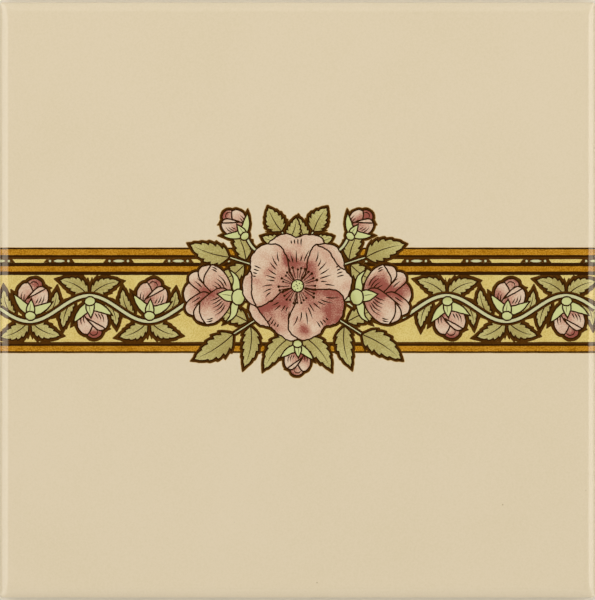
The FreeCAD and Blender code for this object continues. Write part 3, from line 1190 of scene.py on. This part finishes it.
def addBakeMap(mesh, places, topFaces, rimCount):
    loops = np.zeros(len(mesh.loops), np.int32)
    mesh.loops.foreach_get("vertex_index", loops)
    p = places[loops]
    uv = np.zeros((len(loops), 2))
    gap, column = bake["gap"], bake["column"]
    low, high = bake["printLow"], bake["printHigh"]
    corner = np.arange(len(loops))
    onTop = corner < 3 * topFaces
    onBack = corner >= 3 * topFaces + 8 * rimCount  # between them, two quads for each point of the rim
    onSide = ~onTop & ~onBack

    def lay(which, x, y):
        uv[which] = np.column_stack([x, y])

    # the print's zone in two halves, one above the other
    middle = np.zeros((len(loops), 3))
    middle[onTop] = np.repeat(p[onTop].reshape(-1, 3, 3).mean(axis=1), 3, axis=0)
    printed = onTop & (middle[:, 1] > low) & (middle[:, 1] < high)
    scale = bake["printScale"]
    for start, rise in ((-halfSide, gap), (0.0, 2 * gap + (high - low) * scale)):
        half = printed & ((middle[:, 0] < 0) == (start < 0))
        lay(half, gap + (p[half, 0] - start) * scale, rise + (p[half, 1] - low) * scale)

    # the plain glaze above and below it, side by side in the second column
    scale = bake["plainScale"]
    upper = onTop & (middle[:, 1] >= high)
    lower = onTop & (middle[:, 1] <= low)
    lay(upper, column + (p[upper, 1] - high) * scale, gap + (p[upper, 0] + halfSide) * scale)
    shift = column + (halfSide - high) * scale + gap
    lay(lower, shift + (p[lower, 1] + halfSide) * scale, gap + (p[lower, 0] + halfSide) * scale)

    # over them the back, and then the four sides
    level = 2 * gap + 2 * halfSide * scale
    scale = bake["backScale"]
    lay(onBack, column + (p[onBack, 0] + halfSide) * scale, level + (p[onBack, 1] + halfSide) * scale)
    level += gap + 2 * halfSide * scale
    scale = bake["sideScale"]
    side = p[onSide]
    quad = np.repeat(side.reshape(-1, 4, 3).mean(axis=1), 4, axis=0)
    alongX = np.abs(quad[:, 1]) > np.abs(quad[:, 0])
    facing = np.where(alongX, np.where(quad[:, 1] > 0, 0, 1), np.where(quad[:, 0] > 0, 2, 3))
    run = np.where(alongX, side[:, 0], side[:, 1])
    across = facing * (thickness * scale + gap)
    lay(onSide, column + across + side[:, 2] * scale, level + (run + halfSide) * bake["plainScale"])
    mesh.uv_layers.new(name="OFBake").uv.foreach_set("vector", uv.ravel())


# Materials. A pattern has its size in waves for each metre, its detail and, where it is fixed, its strength.

inks = {  # as seen, in 8 bit values
    "glaze": (219, 203, 173),
    "glazeWarm": (215, 199, 166),
    "speck": (150, 128, 92),
    "bleed": (196, 159, 92),
    "ink": (50, 24, 0),
    "inkThin": (64, 34, 0),
    "contour": (76, 43, 4),
    "contourThin": (94, 57, 14),
    "gold": (179, 121, 17),
    "goldDark": (144, 92, 8),
    "goldPale": (202, 147, 48),
    "ground": (212, 188, 110),
    "groundDark": (197, 168, 88),
    "groundPale": (220, 200, 128),
    "petalFaint": (221, 197, 169),
    "petalPale": (214, 186, 157),
    "petalMid": (199, 153, 127),
    "petalDeep": (150, 82, 68),
    "leafPale": (195, 184, 122),
    "leaf": (180, 167, 103),
    "leafDark": (160, 143, 82),
    "sepal": (201, 203, 139),
    "sepalDark": (178, 178, 108),
    "stem": (200, 197, 150),
    "stemDark": (182, 178, 126),
    "biscuit": (214, 198, 172),
    "biscuitDark": (196, 176, 146),
    "floor": (223, 214, 195),
}
finish = {
    "roughness": 0.13,
    "smear": (34.0, 2.0, 0.08),  # how that varies
    "glazeIor": 1.5,
    "colourIor": 1.72,  # the fired colours reflect more than the plain glaze
    "colourSheen": (1.0, 0.88, 0.68, 1.0),  # and a little warmer
    "ripple": (85.0, 1.0),  # of the surface
    "rippleDepth": 0.00006,
    "grain": (3600.0, 1.0),  # of a colour
    "cloud": (230.0, 2.0),
    "cloudShare": 0.25,  # the clouds are weaker than the grain
}


def linear(name):
    shares = [v / 255 for v in inks[name]]
    return [s / 12.92 if s <= 0.04045 else ((s + 0.055) / 1.055) ** 2.4 for s in shares] + [1.0]


def blend(tree, factor, a, b):
    node = add(tree, "ShaderNodeMix", {"Factor": factor}, data_type="RGBA")
    for socket, value in ((node.inputs[6], a), (node.inputs[7], b)):
        if isinstance(value, str):
            socket.default_value = linear(value)
        else:
            tree.links.new(value, socket)
    return node.outputs[2]


def rawNoise(tree, where, size, detail):
    made = add(tree, "ShaderNodeTexNoise", {"Vector": where, "Scale": size, "Detail": detail})
    return made.outputs["Fac"]


def noise(tree, where, size, detail, strength):
    centred = maths(tree, "SUBTRACT", rawNoise(tree, where, size, detail), 0.5)
    return maths(tree, "MULTIPLY", centred, strength)


def mapped(tree, value, span, low, high, smooth=False):
    # the value's span drawn out from low to high
    return add(tree, "ShaderNodeMapRange", {
        "Value": value, "From Min": span[0], "From Max": span[1], "To Min": low, "To Max": high,
    }, interpolation_type="SMOOTHSTEP" if smooth else "LINEAR").outputs[0]


def ramp(tree, factor, stops):
    node = add(tree, "ShaderNodeValToRGB", {"Fac": factor})
    elements = node.color_ramp.elements
    elements[0].position, elements[1].position = stops[0][0], stops[-1][0]
    elements[0].color, elements[1].color = linear(stops[0][1]), linear(stops[-1][1])
    for at, name in stops[1:-1]:
        elements.new(at).color = linear(name)
    return node.outputs["Color"]


def parted(tree, vector):
    return add(tree, "ShaderNodeSeparateXYZ", {0: vector}).outputs


def bumped(tree, shader, height, strength, depth):
    bump = add(tree, "ShaderNodeBump", {"Height": height, "Strength": strength, "Distance": depth})
    tree.links.new(bump.outputs[0], shader.inputs["Normal"])


# Cream glaze, cloudy and with a rare speck

cream = {
    "cloud": (42.0, 3.0, 1.1),
    "mist": (2100.0, 3.0, 2.8),
    "warmth": 0.3,
    "speckCells": 190.0,
    "speckRare": 0.93,  # share of the cells that have none
    "speckEdge": (0.018, 0.045),  # from its full depth to nothing, in cells
    "speckDepth": 0.75,
}


def creamColour(tree, where):
    cloud = noise(tree, where, *cream["cloud"])
    mist = noise(tree, where, *cream["mist"])
    warmth = maths(tree, "ADD", maths(tree, "ADD", cloud, mist), cream["warmth"])
    cells = add(tree, "ShaderNodeTexVoronoi", {"Vector": where, "Scale": cream["speckCells"]}).outputs
    rare = maths(tree, "GREATER_THAN", parted(tree, cells["Color"])[0], cream["speckRare"])
    near = mapped(tree, cells["Distance"], cream["speckEdge"], cream["speckDepth"], 0.0)
    plain = blend(tree, warmth, "glaze", "glazeWarm")
    return blend(tree, maths(tree, "MULTIPLY", rare, near), plain, "speck")


# Even colours: dark, middle and pale tone of the grain, and how strong it is

grains = {
    "bleed": ("bleed", "bleed", "glaze", 0.6),
    "ink": ("ink", "ink", "inkThin", 0.8),
    "contour": ("ink", "contour", "contourThin", 1.2),
    "gold": ("goldDark", "gold", "goldPale", 3.0),
    "ground": ("groundDark", "ground", "groundPale", 2.4),
    "stem": ("stemDark", "stem", "stem", 0.8),
    "biscuit": ("biscuitDark", "biscuit", "biscuit", 1.2),
}


def grainyColour(tree, where, paint):
    dark, mid, pale, strength = grains[paint]
    grain = noise(tree, where, *finish["grain"], strength)
    cloud = noise(tree, where, *finish["cloud"], finish["cloudShare"] * (1 + strength))
    factor = maths(tree, "ADD", maths(tree, "ADD", grain, cloud), 0.5)
    return ramp(tree, factor, [(0.0, dark), (0.5, mid), (1.0, pale)])


# Shaded colours: deep at one end of each shape and pale at the other, in soft patches with a fine grain

shades = {
    "petal": {
        "stops": [(0.0, "petalFaint"), (0.22, "petalPale"), (0.58, "petalMid"), (1.0, "petalDeep")],
        "cloud": 1.6, "grain": 1.3, "fade": 1.1, "start": 0.17,
    },
    "leaf": {
        "stops": [(0.0, "leafPale"), (0.22, "leaf"), (0.75, "leafDark")],
        "cloud": 1.2, "grain": 2.0, "fade": 1.2, "start": 0.0,
    },
    "sepal": {
        "stops": [(0.0, "sepal"), (0.3, "sepal"), (1.0, "sepalDark")],
        "cloud": 0.6, "grain": 0.3, "fade": 0.8, "start": 0.0,
    },
}
wash = {
    "fadeFrom": -0.05,  # along a shape, where it starts to grow paler
    "patches": (230.0, 1.5),
    "blush": (170.0, 0.0),
    "blushSpan": (0.56, 0.74),  # the part of its pattern that shows
    "blushShare": 0.4,  # of the patches' strength
}


def shadedColour(tree, where, paint):
    given = shades[paint]
    shading = add(tree, "ShaderNodeAttribute", attribute_name="shading").outputs["Vector"]
    along, depth, _ = parted(tree, shading)
    fade = mapped(tree, along, (wash["fadeFrom"], given["fade"]), 1.0, 0.0, True)
    patches = noise(tree, where, *wash["patches"], given["cloud"])
    blush = rawNoise(tree, where, *wash["blush"])
    blush = mapped(tree, blush, wash["blushSpan"], 0.0, given["cloud"] * wash["blushShare"], True)
    cloud = maths(tree, "ADD", patches, blush)
    soft = maths(tree, "MULTIPLY", maths(tree, "ADD", fade, cloud), depth)
    stipple = noise(tree, where, *finish["grain"], given["grain"])
    factor = maths(tree, "ADD", soft, stipple)
    factor = maths(tree, "MULTIPLY_ADD", factor, 1 - given["start"], given["start"])
    return ramp(tree, factor, given["stops"])


# Clear glaze over the cream and the print

def glazeFinish(tree, shader, where, paint):
    plain = paint in ("glaze", "bleed")
    shader.inputs["IOR"].default_value = finish["glazeIor" if plain else "colourIor"]
    if not plain:
        shader.inputs["Specular Tint"].default_value = finish["colourSheen"]
    smear = noise(tree, where, *finish["smear"])
    tree.links.new(maths(tree, "ADD", smear, finish["roughness"]), shader.inputs["Roughness"])
    bumped(tree, shader, rawNoise(tree, where, *finish["ripple"]), 1.0, finish["rippleDepth"])
    if paint == "glaze":
        return creamColour(tree, where)
    if paint in grains:
        return grainyColour(tree, where, paint)
    return shadedColour(tree, where, paint)


# Bare clay of the back

biscuit = {
    "roughness": 0.85,
    "sand": (2600.0, 3.0),
    "sandStrength": 0.7,
    "sandDepth": 0.0002,
}


def biscuitFinish(tree, shader, where):
    shader.inputs["Roughness"].default_value = biscuit["roughness"]
    sand = rawNoise(tree, where, *biscuit["sand"])
    bumped(tree, shader, sand, biscuit["sandStrength"], biscuit["sandDepth"])
    return grainyColour(tree, where, "biscuit")


# Sides: glaze that ran down from the face and stopped short of the back

glazeEdge = {
    "height": 3.4,  # how far above the back the glaze stops
    "wander": (120.0, 3.0),
    "wanderReach": 2.6,
    "softness": 0.25,
    "lip": 0.5,
    "lipDepth": 0.0001,
}


def sideFinish(tree, shader, where):
    wander = noise(tree, where, *glazeEdge["wander"], glazeEdge["wanderReach"] * mm)
    level = maths(tree, "ADD", parted(tree, where)["Z"], wander)
    softness = glazeEdge["softness"]
    span = [(glazeEdge["height"] + step) * mm for step in (-softness, softness)]
    glazed = mapped(tree, level, span, 0.0, 1.0)
    rough = mapped(tree, glazed, (0.0, 1.0), biscuit["roughness"], finish["roughness"])
    tree.links.new(rough, shader.inputs["Roughness"])
    bumped(tree, shader, glazed, glazeEdge["lip"], glazeEdge["lipDepth"])
    return blend(tree, glazed, grainyColour(tree, where, "biscuit"), creamColour(tree, where))


def makeMaterial(paint):
    material = bpy.data.materials.new("tile_" + paint)
    material.use_nodes = True
    tree = material.node_tree
    shader = tree.nodes["Principled BSDF"]
    where = add(tree, "ShaderNodeTexCoord").outputs["Object"]
    if paint == "side":
        base = sideFinish(tree, shader, where)
    elif paint == "biscuit":
        base = biscuitFinish(tree, shader, where)
    else:
        base = glazeFinish(tree, shader, where, paint)
    tree.links.new(base, shader.inputs["Base Color"])
    return material


# Building the piece

def buildTile():
    materials = {paint: makeMaterial(paint) for paint in paints}
    print("materials:", len(materials))
    row, ring = rowTree(), ringTree()
    friezes = friezeShapes(row, materials)
    stripes, bleedStripe = ruledStripes()
    field = stripes.pop(band["friezeRow"])
    groups = [
        [bleedStripe, field], friezes, stripes, beadShapes(row, materials),
        sprayShapes(roseStamens(ring, materials["ink"])),
    ]
    mesh = tileMesh(paintedPlan(groups, levelLines(), bakeCuts()), grooveShapes(row, materials))
    for material in materials.values():
        mesh.materials.append(material)
    piece = bpy.data.objects.new("printed_tile", mesh)
    bpy.context.scene.collection.objects.link(piece)
    print("tile:", len(mesh.polygons), "faces")
    return piece


printedTile = buildTile()
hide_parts("border_tile")
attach(printedTile, "root")

# Floor, light and camera

stage = {
    "floorSide": 3.0,
    "floorRoughness": 0.7,
    "lamps": {  # turn about the tile, degrees above the floor, metres away, width, height and power
        "lampLeft": (180, 45, 1.0, 1.60, 0.66, 8.3),
        "lampRight": (0, 38, 1.0, 2.10, 0.51, 9.7),
        "lampFar": (90, 36, 0.7, 1.26, 0.735, 2.28),
        "lampNear": (270, 38, 1.6, 1.92, 1.60, 5.38),
    },
    "world": 0.03,
}
view = {
    "frame": (595, 600),  # pixels of the picture
    "scale": 3.92,  # pixels for each millimetre of the face
    "lens": 200.0,
    "sensor": 36.0,
}


def makeFloor():
    half = stage["floorSide"] / 2
    mesh = bpy.data.meshes.new("floor")
    corners = [(-half, -half, 0), (half, -half, 0), (half, half, 0), (-half, half, 0)]
    mesh.from_pydata(corners, [], [range(4)])
    floor = bpy.data.objects.new("floor", mesh)
    bpy.context.scene.collection.objects.link(floor)
    material = bpy.data.materials.new("floor")
    material.use_nodes = True
    shader = material.node_tree.nodes["Principled BSDF"]
    shader.inputs["Base Color"].default_value = linear("floor")
    shader.inputs["Roughness"].default_value = stage["floorRoughness"]
    mesh.materials.append(material)
    return floor


def makeLamp(name, turn, raised, away, width, height, power):
    data = bpy.data.lights.new(name, "AREA")
    data.shape = "RECTANGLE"
    data.size, data.size_y = width, height
    data.energy = power
    lamp = bpy.data.objects.new(name, data)
    a, e = math.radians(turn), math.radians(raised)
    spot = Vector((math.cos(a) * math.cos(e), math.sin(a) * math.cos(e), math.sin(e))) * away
    lamp.location = spot
    lamp.rotation_euler = spot.to_track_quat("Z", "Y").to_euler()
    bpy.context.scene.collection.objects.link(lamp)


def makeWorld():
    world = bpy.data.worlds.new("studio")
    world.use_nodes = True
    background = world.node_tree.nodes["Background"].inputs
    background["Color"].default_value = (1, 1, 1, 1)
    background["Strength"].default_value = stage["world"]
    bpy.context.scene.world = world


def makeCamera():
    data = bpy.data.cameras.new("camera")
    data.lens = view["lens"]
    data.sensor_width = view["sensor"]
    tall = max(view["frame"]) / view["scale"] * mm
    camera = bpy.data.objects.new("camera", data)
    camera.location = (0.0, 0.0, thickness * mm + tall * view["lens"] / view["sensor"])
    bpy.context.scene.collection.objects.link(camera)
    bpy.context.scene.camera = camera


makeFloor()
for lampName, lampValues in stage["lamps"].items():
    makeLamp(lampName, *lampValues)
makeWorld()
makeCamera()
bpy.context.scene.view_settings.view_transform = "Standard"
print("stage: floor,", len(stage["lamps"]), "lamps, camera")
